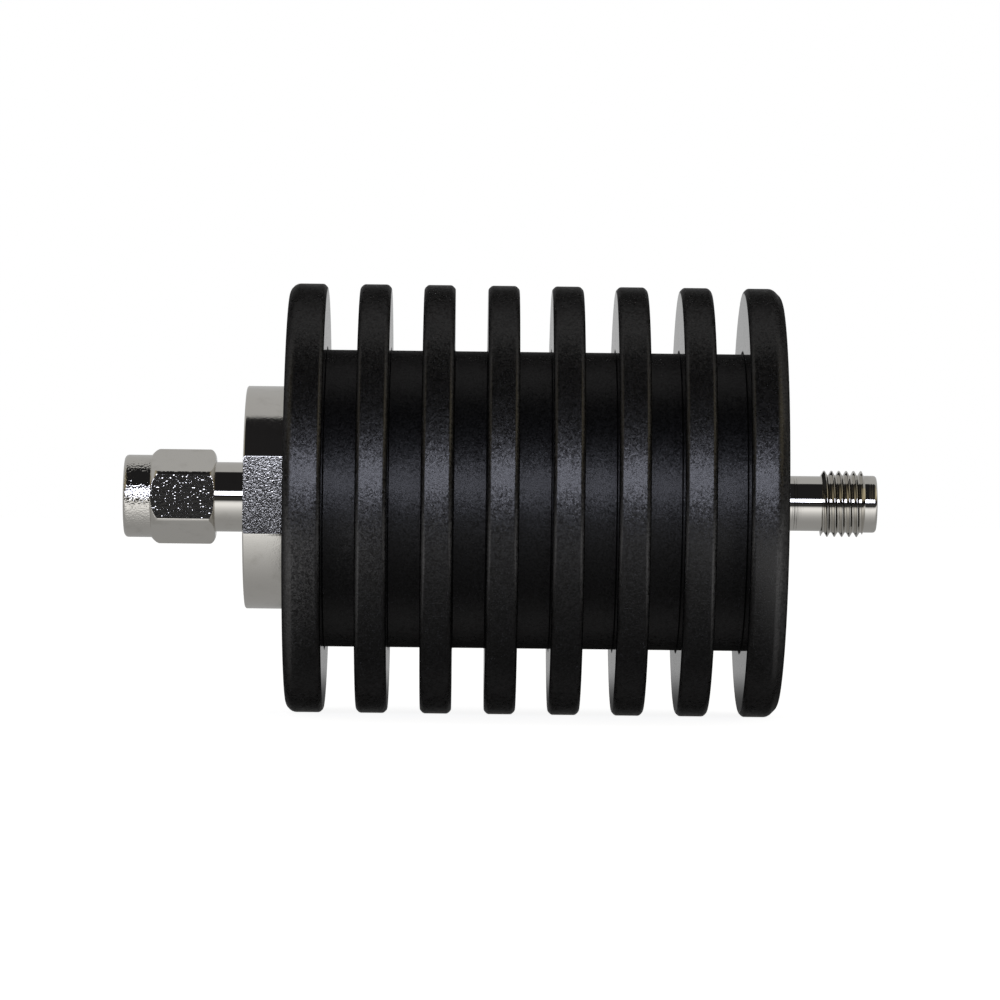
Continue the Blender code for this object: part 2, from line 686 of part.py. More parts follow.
def main():
    clear_scene()
    turning = [coat(coupling_nut(), NICKEL), coat(nut_snap_ring(), BRONZE_SPRING)]
    base = coat(carrier_half("element_carrier", -1, -CHANNEL_FLOOR_Z), BARE_ALUMINIUM)
    cap = coat(carrier_half("carrier_cap", 1, CHANNEL_CEILING_Z), BARE_ALUMINIUM)
    cutters = screw_hole_cutters()
    for half in (base, cap):
        for cutter in cutters:
            cut(half, cutter)
    screws = carrier_screws()
    coat(screws[0], SPRING_STEEL)
    input_tab_x = CARRIER_FRONT_X + SUBSTRATE_INSET + TAB_INSET
    output_tab_x = CARRIER_BACK_X - SUBSTRATE_INSET - TAB_INSET - TAB_LENGTH
    fixed = [
        coat(heat_sink(), BLACK_ANODISED),
        coat(male_connector_body(), NICKEL),
        coat(nut_gasket(), RED_RUBBER),
        coat(dielectric("male_dielectric", 0, NOSE_BACK_X), WHITE_INSULATOR),
        coat(male_center_pin(), GOLD_PLATE),
        coat(female_connector_body(), NICKEL),
        coat(
            dielectric("female_dielectric", SHOULDER_FRONT_X, SOCKET_PLANE_X), WHITE_INSULATOR
        ),
        coat(female_center_contact(), GOLD_PLATE),
        coat(wave_spring_washer(), SPRING_STEEL),
        coat(attenuator_substrate(), CERAMIC),
        coat(tab("input_tab", input_tab_x), GOLD_PLATE),
        coat(tab("output_tab", output_tab_x), GOLD_PLATE),
        base,
        cap,
        *screws,
        *cutters,
    ]
    body_empty = add_joint_empty("attenuator_body")
    nut_empty = add_joint_empty("nut_axis")
    nut_empty.parent = body_empty
    for piece in fixed:
        piece.parent = body_empty
    for piece in turning:
        piece.parent = nut_empty


main()
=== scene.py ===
import math
from collections import namedtuple

import bmesh
import bpy
from bpy.props import FloatProperty, FloatVectorProperty, IntProperty, PointerProperty
from mathutils import Matrix, Vector


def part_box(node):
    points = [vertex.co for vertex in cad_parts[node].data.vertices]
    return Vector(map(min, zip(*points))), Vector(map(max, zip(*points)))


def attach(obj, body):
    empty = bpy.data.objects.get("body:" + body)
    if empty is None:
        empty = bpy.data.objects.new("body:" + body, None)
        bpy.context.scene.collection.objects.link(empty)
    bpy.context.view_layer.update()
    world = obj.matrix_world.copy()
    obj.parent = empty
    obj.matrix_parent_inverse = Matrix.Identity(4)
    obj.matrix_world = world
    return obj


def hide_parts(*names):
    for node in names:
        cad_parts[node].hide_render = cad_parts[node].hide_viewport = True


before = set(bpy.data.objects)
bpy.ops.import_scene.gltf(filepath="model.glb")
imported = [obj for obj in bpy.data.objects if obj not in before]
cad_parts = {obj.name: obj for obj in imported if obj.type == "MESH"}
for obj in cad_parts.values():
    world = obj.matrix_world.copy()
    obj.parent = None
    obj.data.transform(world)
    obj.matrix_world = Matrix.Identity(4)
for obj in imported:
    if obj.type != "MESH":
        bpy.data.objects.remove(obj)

bl_info = {
    "name": "Coaxial Attenuator",
    "version": (1, 0, 0),
    "blender": (4, 5, 0),
    "location": "3D View > Sidebar > Attenuator",
    "description": "Dresses a coaxial attenuator: heat sink, plug with coupling nut, socket",
    "category": "Object",
}

# Metres, +Z up. Every turned piece has the X axis as its axis, and the plug points along -X.
MM = 0.001
FULL_TURN = 2 * math.pi
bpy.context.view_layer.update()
WELD = 0.0001 * MM
NEAR = 0.001 * MM
SAME_WAY = 0.9999  # cosine of the angle between two directions that count as one
EASING_STEPS = 4
BODY = "attenuator_body"
NUT_BODY = "coupling_nut_body"

SINK_LOW, SINK_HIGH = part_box("heat_sink")
PLUG_LOW, PLUG_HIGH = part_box("male_connector_body")
NUT_LOW, NUT_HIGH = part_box("coupling_nut")
RING_LOW, RING_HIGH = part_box("nut_snap_ring")
GASKET_LOW, GASKET_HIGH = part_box("nut_gasket")
PIN_LOW, PIN_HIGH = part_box("male_center_pin")
SOCKET_LOW, SOCKET_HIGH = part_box("female_connector_body")
CONTACT_LOW, CONTACT_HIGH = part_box("female_center_contact")

SINK_MIDDLE = (SINK_LOW.x + SINK_HIGH.x) / 2
SINK_HALF = (SINK_HIGH.x - SINK_LOW.x) / 2
FINE = 0.05 * MM  # arc on the edges of the turned brass
RING_GAP = 0.05 * MM  # between the snap ring and the walls of its grooves
RING_SEGMENTS = 96  # facets round the snap ring, the gasket and the insulators
CONTACT_SEGMENTS = 64  # facets round the pin and the contact
CREST_FLAT, ROOT_FLAT = 1 / 8, 1 / 6  # shares of the thread's pitch
FLAT_ARC = 0.47  # share of a flat that the arc at one of its ends takes up

# A corner of a turned outline: its station, its diameter and the size of the arc that eases it
Corner = namedtuple("Corner", "x diameter easing", defaults=(0.0,))


def length(name, description, default):
    """A size that is given here in millimetres and kept in metres."""
    metres = default * MM
    return FloatProperty(
        name=name, description=description, default=metres, min=0, precision=6, unit="LENGTH"
    )


def colour(name, description, default):
    return FloatVectorProperty(
        name=name, description=description, default=default, min=0, max=1, size=3, subtype="COLOR"
    )


def share(name, description, default):
    return FloatProperty(
        name=name, description=description, default=default, min=0, max=1, subtype="FACTOR"
    )


def count(name, description, default, least):
    return IntProperty(name=name, description=description, default=default, min=least)


def degrees(name, description, default):
    """An angle that is given here in degrees and kept in radians."""
    return FloatProperty(
        name=name, description=description, default=math.radians(default), subtype="ANGLE"
    )


class HeatSinkSizes(bpy.types.PropertyGroup):
    """The ribbed bar that carries the heat away."""

    fins: count("Fins", "Number of ribs on the bar", 8, 2)
    fin: length("Fin", "Thickness of a rib between the end ribs", 3.0)
    end_fin: length("End fin", "Thickness of the first and last rib", 3.6)
    core: length("Core", "Diameter at the bottom of the grooves", 28.4)
    bore: length("Bore", "Diameter of the deep bore from the plug end", 17.0)
    end_wall: length("End wall", "Thickness of the wall at the socket end", 4.0)
    hole: length("Hole", "Diameter of the hole in the end wall", 5.35)
    edge: length("Edge", "Bevel on the ribs", 0.35)
    plug_edge: length("Plug end edge", "Bevel on the first rib's outer face", 0.65)
    socket_edge: length("Socket end edge", "Bevel on the last rib's outer face", 0.9)
    softness: length("Softness", "Arc that the blasting leaves on each edge", 0.15)
    end_softness: length("End softness", "The same on both outer faces", 0.35)
    root_fillet: length("Root fillet", "Arc between a groove's floor and its sides", 0.12)
    segments: count("Segments", "Facets round the bar", 192, 24)


class PlugSizes(bpy.types.PropertyGroup):
    """The plug's body, its insulator and its pin."""

    sleeve: length("Sleeve", "Diameter of the contact sleeve", 4.58)
    sleeve_length: length("Sleeve length", "Sleeve from its end to the shoulder", 2.4)
    bore: length("Bore", "Diameter of the line's bore", 4.13)
    neck: length("Neck", "Diameter of the neck", 6.65)
    groove_floor: length("Groove floor", "Diameter under the snap ring", 5.6)
    flange: length("Flange", "Diameter of the flange", 21.3)
    flange_back: length("Flange back", "Station of the face against the heat sink", 12.70)
    flange_thickness: length("Flange thickness", "Thickness of the flange", 3.95)
    edge: length("Edge", "Bevel on the flange", 0.12)
    flat_depth: length("Flat depth", "Depth of a wrench flat under the round", 0.65)
    flat_easing: length("Flat easing", "Arc along the borders of the flats", 0.03)
    flat_turn: degrees("Flat turn", "Turn of the wrench flats about the axis", -1.2)
    spigot: length("Spigot", "Diameter of the part inside the heat sink", 16.9)
    spigot_length: length("Spigot length", "Length of the part inside the heat sink", 3.5)
    nose: length("Nose", "Diameter of the end that meets the carrier", 8.0)
    pin: length("Pin", "Diameter of the centre conductor", 1.27)
    tip: length("Tip", "Diameter of the mating pin", 0.92)
    tip_taper: length("Tip taper", "Length of the pin's point", 0.4)
    tip_end: length("Tip end", "Diameter of the point's end", 0.4)
    tip_step: length("Tip step", "Station where the pin steps up to the conductor", 0.05)
    insulator_bore: length("Insulator bore", "Hole for the conductor", 1.33)
    segments: count("Segments", "Facets round the plug", 160, 24)


class NutSizes(bpy.types.PropertyGroup):
    """The coupling nut with its snap ring and gasket."""

    collar: length("Collar", "Diameter of the round front", 7.87)
    collar_length: length("Collar length", "Length of the round front", 2.6)
    collar_easing: length("Collar easing", "Arc on the front edge", 0.43)
    across_flats: length("Across flats", "Size of the hexagon", 7.94)
    turned: length("Turned", "Diameter that the hexagon's corners are turned to", 9.03)
    shoulder: length("Shoulder", "Length of the arc from the collar to the hexagon", 0.8)
    rim: length("Rim", "Diameter of the back face", 7.79)
    rim_easing: length("Rim easing", "Length of the arc on the back edge", 0.55)
    entry: length("Entry", "Diameter of the countersink at the mouth", 6.49)
    entry_depth: length("Entry depth", "Depth of the countersink", 0.45)
    thread_bore: length("Thread bore", "Diameter inside the thread's crests", 5.59)
    thread_end: length("Thread end", "Station where the thread stops", 1.5)
    bore: length("Bore", "Diameter that turns on the plug's neck", 6.81)
    ring_inner: length("Ring inner", "Inner diameter of the snap ring", 5.7)
    ring_opening: degrees("Ring opening", "Angle left out of the split ring", 24)
    gasket_inner: length("Gasket inner", "Inner diameter of the gasket", 4.68)
    arc_steps: count("Arc steps", "Facets across the arcs", 16, 4)
    segments: count("Segments", "Facets round the nut", 360, 48)


class SocketSizes(bpy.types.PropertyGroup):
    """The threaded socket, its insulator and its contact."""

    shoulder_length: length("Shoulder length", "Thickness inside the end wall", 2.0)
    neck: length("Neck", "Diameter of the neck", 5.25)
    bore: length("Bore", "Diameter of the line's bore", 4.13)
    pilot: length("Pilot", "Diameter of the smooth end in front of the thread", 5.45)
    pilot_length: length("Pilot length", "Length of that smooth end", 1.22)
    pilot_easing: length("Pilot easing", "Arc on the front edge", 0.3)
    counterbore: length("Counterbore", "Diameter that takes the plug's sleeve", 4.63)
    counterbore_depth: length("Counterbore depth", "From the front to its floor", 1.93)
    thread_length: length("Thread length", "From the neck to the smooth end", 4.1)
    pitch: length("Pitch", "Advance of the thread in one turn", 25.4 / 36)
    crest: length("Crest", "Diameter over the thread", 6.35)
    root: length("Root", "Diameter at the thread's root", 5.484)
    first_crest: length("First crest", "From the thread's start to a crest on top", 0.32)
    run_out: length("Run-out", "Length of the cone from the thread to the smooth end", 0.21)
    nut_clearance: length("Nut clearance", "Nut thread's root over the crest", 0.1)
    contact: length("Contact", "Diameter of the centre contact", 1.27)
    contact_bore: length("Contact bore", "Hole for the mating pin", 0.94)
    contact_depth: length("Contact depth", "Depth of that hole", 3.0)
    slot_length: length("Slot length", "Length of the contact's slots", 2.4)
    slot_width: length("Slot width", "Width of the contact's slots", 0.15)
    insulator_bore: length("Insulator bore", "Hole for the conductor", 1.33)
    segments: count("Segments", "Facets round the socket", 144, 48)


class FinishColours(bpy.types.PropertyGroup):
    """Colours of the metals, the coatings and the insulators."""

    anodised: colour("Anodised", "Black anodised aluminium", (0.042, 0.041, 0.041))
    anodised_side: colour("Anodised side", "The ribs' smooth sides", (0.002, 0.002, 0.002))
    anodised_grain: colour("Anodised grain", "Paler grains of the skin", (0.074, 0.073, 0.073))
    sheen: colour("Sheen", "What the skin reflects at low angles", (0.3, 0.3, 0.3))
    nickel: colour("Nickel", "Bright nickel plate", (0.66, 0.64, 0.60))
    nickel_stain: colour("Nickel stain", "Nickel where it is slightly stained", (0.50, 0.48, 0.44))
    gold: colour("Gold", "Gold plate on the contacts", (0.90, 0.68, 0.32))
    insulator: colour("Insulator", "White insulator", (0.86, 0.86, 0.84))
    rubber: colour("Rubber", "Red rubber gasket", (0.50, 0.07, 0.04))
    bronze: colour("Bronze", "Spring bronze ring", (0.72, 0.48, 0.28))
    steel: colour("Steel", "Stainless screws and washer", (0.55, 0.55, 0.56))
    aluminium: colour("Aluminium", "Milled carrier", (0.76, 0.77, 0.79))
    ceramic: colour("Ceramic", "Ceramic plate", (0.85, 0.84, 0.80))
    film: colour("Film", "Resistive film on the plate", (0.10, 0.09, 0.09))


class StageSizes(bpy.types.PropertyGroup):
    """The camera, the floor and the light."""

    distance: length("Distance", "Camera to the attenuator's axis", 515)
    foot: length("Foot", "Station of the axis straight in front of the camera", 29.7)
    centre: length("Centre", "Station of the axis at the picture's centre", 33.0)
    roll: degrees("Roll", "Roll of the camera, which lowers the socket end", 0.66)
    lens: FloatProperty(
        name="Lens", description="Focal length for a sensor 36 mm wide", default=193.6, min=10
    )
    floor: length("Floor", "Width of the floor", 8000)
    strip_distance: length("Strip distance", "Strip light to the axis", 600)
    strip_width: length("Strip width", "Width of the strip light", 800)
    strip_shift: length("Strip shift", "Strip light's middle, from the centre to the left", 150)
    strip_low: degrees("Strip low", "Elevation of the strip light's lower edge", 5.4)
    strip_high: degrees("Strip high", "Elevation of the strip light's upper edge", 18.4)
    strip_power: FloatProperty(
        name="Strip power", description="Power of the strip light in watts", default=2.2, min=0
    )
    backdrop: share("Backdrop", "Brightness of the backdrop behind and over the attenuator", 0.5)
    strip_tone: colour("Strip tone", "Colour of the strip light", (0.80, 0.84, 1.0))
    dark_side: colour("Dark side", "The studio's dark walls", (0.017, 0.0165, 0.0175))
    walls: colour("Walls", "The warm walls left and right of the camera", (0.78, 0.69, 0.48))
    paper: share("Paper", "How white the floor is", 0.85)
    shadow: share("Shadow", "How much of the shadow the camera sees on the white floor", 0.5)


class AttenuatorSettings(bpy.types.PropertyGroup):
    """All sizes and colours of the attenuator."""

    sink: PointerProperty(type=HeatSinkSizes)
    plug: PointerProperty(type=PlugSizes)
    nut: PointerProperty(type=NutSizes)
    socket: PointerProperty(type=SocketSizes)
    colours: PointerProperty(type=FinishColours)
    stage: PointerProperty(type=StageSizes)


def settings():
    return bpy.context.scene.attenuator


# Modelling


def choose(piece, test, kind="VERT"):
    """Selects, in edit mode, the vertices or faces that pass the test, and no others."""
    bpy.ops.mesh.select_mode(type=kind)
    bpy.ops.mesh.select_all(action="DESELECT")
    shape = bmesh.from_edit_mesh(piece.data)
    for item in shape.faces if kind == "FACE" else shape.verts:
        if test(item):
            item.select_set(True)
    shape.select_flush_mode()
    bmesh.update_edit_mesh(piece.data)


def weld():
    """Merges, in edit mode, the vertices that meet."""
    bpy.ops.mesh.select_all(action="SELECT")
    bpy.ops.mesh.remove_doubles(threshold=WELD)


def cut(place, normal, **side):
    """Cuts the piece by a plane, in edit mode, clears the named side and closes the cut."""
    bpy.ops.mesh.select_all(action="SELECT")
    bpy.ops.mesh.bisect(plane_co=place, plane_no=normal, use_fill=True, threshold=WELD, **side)


def start_point(name, x, radius):
    """Adds a small plane above the axis and merges it to one vertex, in edit mode."""
    bpy.ops.object.select_all(action="DESELECT")
    bpy.ops.mesh.primitive_plane_add(size=MM, location=(x, 0, radius))
    piece = bpy.context.object
    piece.name = name
    piece.data.name = name
    bpy.ops.object.transform_apply(location=True)
    bpy.ops.object.mode_set(mode="EDIT")
    bpy.ops.mesh.select_mode(type="VERT")
    bpy.ops.mesh.merge(type="CENTER")
    return piece


def draw_outline(name, corners, closed=True):
    """Draws an outline above the axis by extruding one vertex, then eases its corners."""
    piece = start_point(name, corners[0].x, corners[0].diameter / 2)
    ends = corners[1:] + corners[:1] if closed else corners[1:]
    for near, far in zip(corners, ends):
        step = (far.x - near.x, 0, (far.diameter - near.diameter) / 2)
        bpy.ops.mesh.extrude_vertices_move(TRANSFORM_OT_translate={"value": step})
    weld()
    for easing in sorted({corner.easing for corner in corners if corner.easing}):
        places = [Vector((c.x, 0, c.diameter / 2)) for c in corners if c.easing == easing]
        choose(piece, lambda vertex: any((vertex.co - place).length < NEAR for place in places))
        bpy.ops.mesh.bevel(offset=easing, segments=EASING_STEPS, affect="VERTICES")
    return piece


def close_surface(piece):
    """Merges what meets, turns the faces outwards and leaves edit mode."""
    weld()
    bpy.ops.mesh.normals_make_consistent(inside=False)
    bpy.ops.object.mode_set(mode="OBJECT")
    return piece


def spin_outline(piece, segments, angle=FULL_TURN):
    bpy.ops.mesh.select_all(action="SELECT")
    bpy.ops.mesh.spin(steps=segments, angle=angle, center=(0, 0, 0), axis=(1, 0, 0))
    return close_surface(piece)


def turned(name, corners, segments, closed=True):
    """A piece turned about the X axis from an outline above it."""
    return spin_outline(draw_outline(name, corners, closed), segments)


def tube(low_x, high_x, inner, outer, easing=0.0):
    """Corners of a plain tube."""
    return [
        Corner(low_x, inner, easing),
        Corner(low_x, outer, easing),
        Corner(high_x, outer, easing),
        Corner(high_x, inner, easing),
    ]


def pick(piece):
    """Makes the piece the active object and the only one selected."""
    bpy.ops.object.select_all(action="DESELECT")
    piece.select_set(True)
    bpy.context.view_layer.objects.active = piece


def edit(piece):
    pick(piece)
    bpy.ops.object.mode_set(mode="EDIT")


def apply_modifier(piece, kind, **values):
    pick(piece)
    modifier = piece.modifiers.new(kind.title(), kind)
    for name, value in values.items():
        setattr(modifier, name, value)
    bpy.ops.object.modifier_apply(modifier=modifier.name)
    return piece


def carve(piece, cutter):
    """Takes the cutter out of the piece, and removes the cutter."""
    apply_modifier(piece, "BOOLEAN", operation="DIFFERENCE", solver="EXACT", object=cutter)
    bpy.data.objects.remove(cutter)


def smooth(piece, angle=32.0):
    """Shades the piece smooth, with edges sharper than the angle kept sharp."""
    pick(piece)
    bpy.ops.object.shade_smooth_by_angle(angle=math.radians(angle))
    return apply_modifier(piece, "WEIGHTED_NORMAL", keep_sharp=True)


def threaded_rod(name, thread, start, end, crest, root, crest_place):
    """A right-hand threaded rod between two stations, with a crest on top at crest_place."""
    pitch = thread.pitch
    before = math.ceil((crest_place - start) / pitch) + 1
    first = crest_place - before * pitch
    crest_flat = pitch * CREST_FLAT
    root_flat = pitch * ROOT_FLAT
    crest_arc = crest_flat * FLAT_ARC
    root_arc = root_flat * FLAT_ARC
    tooth = [
        Corner(first - pitch / 2, root),
        Corner(first - pitch / 2 + root_flat / 2, root, root_arc),
        Corner(first - crest_flat / 2, crest, crest_arc),
        Corner(first + crest_flat / 2, crest, crest_arc),
        Corner(first + pitch / 2 - root_flat / 2, root, root_arc),
        Corner(first + pitch / 2, root),
    ]
    rod = draw_outline(name, tooth, closed=False)
    bpy.ops.object.mode_set(mode="OBJECT")
    turns = math.ceil((end - first) / pitch) + 1
    apply_modifier(
        rod,
        "SCREW",
        axis="X",
        angle=FULL_TURN,
        screw_offset=pitch,
        iterations=turns,
        steps=thread.segments,
        render_steps=thread.segments,
    )
    edit(rod)
    weld()
    cut((start, 0, 0), (1, 0, 0), clear_inner=True)
    cut((end, 0, 0), (1, 0, 0), clear_outer=True)
    return close_surface(rod)


def finish_piece(piece, body, nodes, material):
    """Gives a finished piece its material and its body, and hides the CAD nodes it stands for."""
    piece.data.materials.clear()
    piece.data.materials.append(material)
    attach(piece, body)
    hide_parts(*nodes)


# Materials


class Quantity:
    """One output of a node. Arithmetic on it adds Math nodes to the same board."""

    def __init__(self, board, socket):
        self.board = board
        self.socket = socket

    def math(self, operation, first, second):
        return self.board.add("ShaderNodeMath", {"operation": operation}, {0: first, 1: second})

    def __add__(self, other):
        return self.math("ADD", self, other)

    def __sub__(self, other):
        return self.math("SUBTRACT", self, other)

    def __rsub__(self, other):
        return self.math("SUBTRACT", other, self)

    def __mul__(self, other):
        return self.math("MULTIPLY", self, other)

    def __abs__(self):
        return self.math("ABSOLUTE", self, 0.0)

    __radd__ = __add__
    __rmul__ = __mul__


class Board:
    """The node tree of a material or of the world, written as expressions."""

    def __init__(self, tree):
        self.tree = tree
        tree.nodes.clear()

    def add(self, kind, choices=None, sockets=None, output=0):
        """Adds a node, sets its choices, then feeds its sockets with values or links."""
        node = self.tree.nodes.new(kind)
        for name, value in (choices or {}).items():
            setattr(node, name, value)
        for key, value in (sockets or {}).items():
            self.feed(node.inputs[key], value)
        return Quantity(self, node.outputs[output]) if node.outputs else None

    def feed(self, socket, value):
        if isinstance(value, Quantity):
            self.tree.links.new(value.socket, socket)
        else:
            socket.default_value = value

    def place(self):
        """The point on the surface, in the piece's own coordinates, in metres."""
        return self.add("ShaderNodeTexCoord", output="Object")

    def part(self, vector, axis):
        return self.add("ShaderNodeSeparateXYZ", sockets={0: vector}, output=axis)

    def noise(self, place, size, detail=2.0):
        """Cloudy values between 0 and 1, in patches of about this size."""
        return self.add(
            "ShaderNodeTexNoise", sockets={"Vector": place, "Scale": 1 / size, "Detail": detail}
        )

    def vector(self, operation, first, second=(0, 0, 0), output="Vector"):
        return self.add(
            "ShaderNodeVectorMath", {"operation": operation}, {0: first, 1: second}, output
        )

    def radius(self, place):
        """Distance from the X axis."""
        return self.vector("LENGTH", self.vector("MULTIPLY", place, (0, 1, 1)), output="Value")

    def cells(self, place, size):
        """A random vector for each cell of about this size, with parts between 0 and 1."""
        return self.add(
            "ShaderNodeTexVoronoi", sockets={"Vector": place, "Scale": 1 / size}, output="Color"
        )

    def facets(self, place, cells):
        """Height of a tilted facet on each cell, in metres for slopes of up to a half."""
        middle = Quantity(self, cells.socket.node.outputs["Position"])
        lean = self.vector("SUBTRACT", cells, (0.5, 0.5, 0.5))
        offset = self.vector("SUBTRACT", place, middle)
        return self.vector("DOT_PRODUCT", lean, offset, "Value")

    def lines(self, along, size, detail=2.0):
        """Values between 0 and 1 along one coordinate, as a turning tool leaves them."""
        return self.add(
            "ShaderNodeTexNoise",
            {"noise_dimensions": "1D"},
            {"W": along, "Scale": 1 / size, "Detail": detail},
        )

    def between(self, value, low, high, to_low=0.0, to_high=1.0):
        """Carries a range smoothly over to another, and holds its ends."""
        return self.add(
            "ShaderNodeMapRange",
            {"interpolation_type": "SMOOTHSTEP"},
            {0: value, 1: low, 2: high, 3: to_low, 4: to_high},
        )

    def mixed(self, factor, first, second):
        """Colour that goes from the first to the second."""
        return self.add(
            "ShaderNodeMix", {"data_type": "RGBA"}, {0: factor, 6: first, 7: second}, output=2
        )

    def bump(self, height, depth):
        return self.add("ShaderNodeBump", sockets={"Distance": depth, "Height": height})


def rgba(tone, level=1.0):
    return (*[channel * level for channel in tone], 1.0)


def new_material(name):
    """A new material and its empty board."""
    material = bpy.data.materials.new(name)
    material.use_nodes = True
    return material, Board(material.node_tree)


def set_shader(board, **sockets):
    """Adds the Principled shader with these sockets, spaces in their names as underscores."""
    named = {name.replace("_", " "): value for name, value in sockets.items()}
    shader = board.add("ShaderNodeBsdfPrincipled", sockets=named)
    board.add("ShaderNodeOutputMaterial", sockets={"Surface": shader})


def black_anodised():
    """Blasted and black anodised aluminium: a grainy skin, and smooth sides between the ribs."""
    colours = settings().colours
    sizes = settings().sink
    slope = 0.13  # of the grains, as a share of the facets' slopes
    material, board = new_material("black_anodised")
    place = board.place()
    cells = board.cells(place, 0.14 * MM)
    height = board.facets(place, cells)
    speck = board.part(cells, "X")
    patches = board.noise(place, 5 * MM, detail=3.0)
    radius = board.radius(place)
    floor = sizes.core / 2
    rim = SINK_HIGH.z - sizes.edge
    crest = board.between(radius, rim - 0.2 * MM, rim)
    away = abs(board.part(place, "X") - SINK_MIDDLE)
    inside = board.between(away, SINK_HALF - 1.5 * MM, SINK_HALF - MM, 1.0, 0.0)
    sides = board.between(radius, floor + 0.2 * MM, floor + 0.4 * MM) * (1 - crest) * inside
    grain = board.mixed(speck, rgba(colours.anodised), rgba(colours.anodised_grain))
    set_shader(
        board,
        Base_Color=board.mixed(sides, grain, rgba(colours.anodised_side)),
        Roughness=0.35 + 0.06 * patches + 0.10 * speck - 0.10 * crest - 0.35 * sides,
        Metallic=1 - sides,
        Specular_Tint=rgba(colours.sheen),
        Normal=board.bump(height * (1 - sides), slope),
    )
    return material


def nickel(name, part, depths, roughnesses, mark_depth):
    """Bright nickel over brass with turning marks. The function part makes a share from the board
    and the place, and it leads from the first depth of the grain and roughness to the second.
    """
    colours = settings().colours
    material, board = new_material(name)
    place = board.place()
    along = board.part(place, "X")
    stains = board.between(board.noise(place, 1.6 * MM, detail=4.0), 0.52, 0.80)
    grain = board.noise(place, 0.15 * MM, detail=0.0)
    speck = board.part(board.cells(place, 0.15 * MM), "X")
    marked = board.between(board.lines(along, 2 * MM), 0.45, 0.65)
    marks = board.lines(along, 0.12 * MM, detail=3.0) * marked
    other = part(board, place)
    depth = depths[0] + (depths[1] - depths[0]) * other
    roughness = roughnesses[0] + (roughnesses[1] - roughnesses[0]) * other * (0.4 + 0.6 * speck)
    set_shader(
        board,
        Base_Color=board.mixed(stains * 0.5, rgba(colours.nickel), rgba(colours.nickel_stain)),
        Roughness=roughness + 0.02 * stains,
        Metallic=1.0,
        Normal=board.bump(grain * depth + marks * mark_depth, 1.0),
    )
    return material


def gold_plate():
    colours = settings().colours
    material, board = new_material("gold_plate")
    place = board.place()
    wear = board.noise(place, 0.5 * MM, detail=3.0)
    marks = board.lines(board.part(place, "X"), 0.08 * MM)
    set_shader(
        board,
        Base_Color=board.mixed(wear, rgba(colours.gold), rgba(colours.gold, 0.88)),
        Roughness=0.18 + 0.10 * wear,
        Metallic=1.0,
        Normal=board.bump(marks, 0.0008 * MM),
    )
    return material


def white_insulator():
    """Fluoropolymer: a waxy white with faint rings from the lathe."""
    colours = settings().colours
    material, board = new_material("white_insulator")
    place = board.place()
    rings = board.lines(board.radius(place), 0.07 * MM)
    cloud = board.noise(place, 0.9 * MM)
    set_shader(
        board,
        Base_Color=board.mixed(cloud, rgba(colours.insulator), rgba(colours.insulator, 0.95)),
        Roughness=0.40 + 0.12 * rings,
        Metallic=0.0,
        Normal=board.bump(rings, 0.002 * MM),
    )
    return material


def soft_rubber():
    colours = settings().colours
    material, board = new_material("soft_rubber")
    grain = board.noise(board.place(), 0.1 * MM, detail=3.0)
    set_shader(
        board,
        Base_Color=board.mixed(grain, rgba(colours.rubber), rgba(colours.rubber, 0.8)),
        Roughness=0.50 + 0.15 * grain,
        Metallic=0.0,
        Normal=board.bump(grain, 0.004 * MM),
    )
    return material


def bare_metal(name, tone, roughness, stroke):
    """Bare metal with fine strokes along one axis, as rolling or milling leaves them."""
    material, board = new_material(name)
    place = board.place()
    strokes = board.lines(board.part(place, stroke), 0.15 * MM, detail=3.0)
    cloud = board.noise(place, 1.5 * MM, detail=3.0)
    set_shader(
        board,
        Base_Color=board.mixed(cloud, rgba(tone), rgba(tone, 0.85)),
        Roughness=roughness + 0.12 * cloud,
        Metallic=1.0,
        Normal=board.bump(strokes, 0.003 * MM),
    )
    return material


def coated_ceramic():
    """Ceramic plate with a dark film down the middle of its upper face."""
    colours = settings().colours
    low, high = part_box("attenuator_substrate")
    material, board = new_material("coated_ceramic")
    place = board.place()
    across = board.part(place, "Y")
    edge = (high.y - low.y) * 0.3
    film = board.between(across * across, edge**2, (edge * 1.05) ** 2, 1.0, 0.0)
    top = board.between(board.part(place, "Z"), high.z - 0.05 * MM, high.z)
    grain = board.noise(place, 0.2 * MM)
    set_shader(
        board,
        Base_Color=board.mixed(film * top, rgba(colours.ceramic), rgba(colours.film)),
        Roughness=0.45 + 0.15 * grain,
        Metallic=0.0,
        Normal=board.bump(grain, 0.002 * MM),
    )
    return material


# Pieces


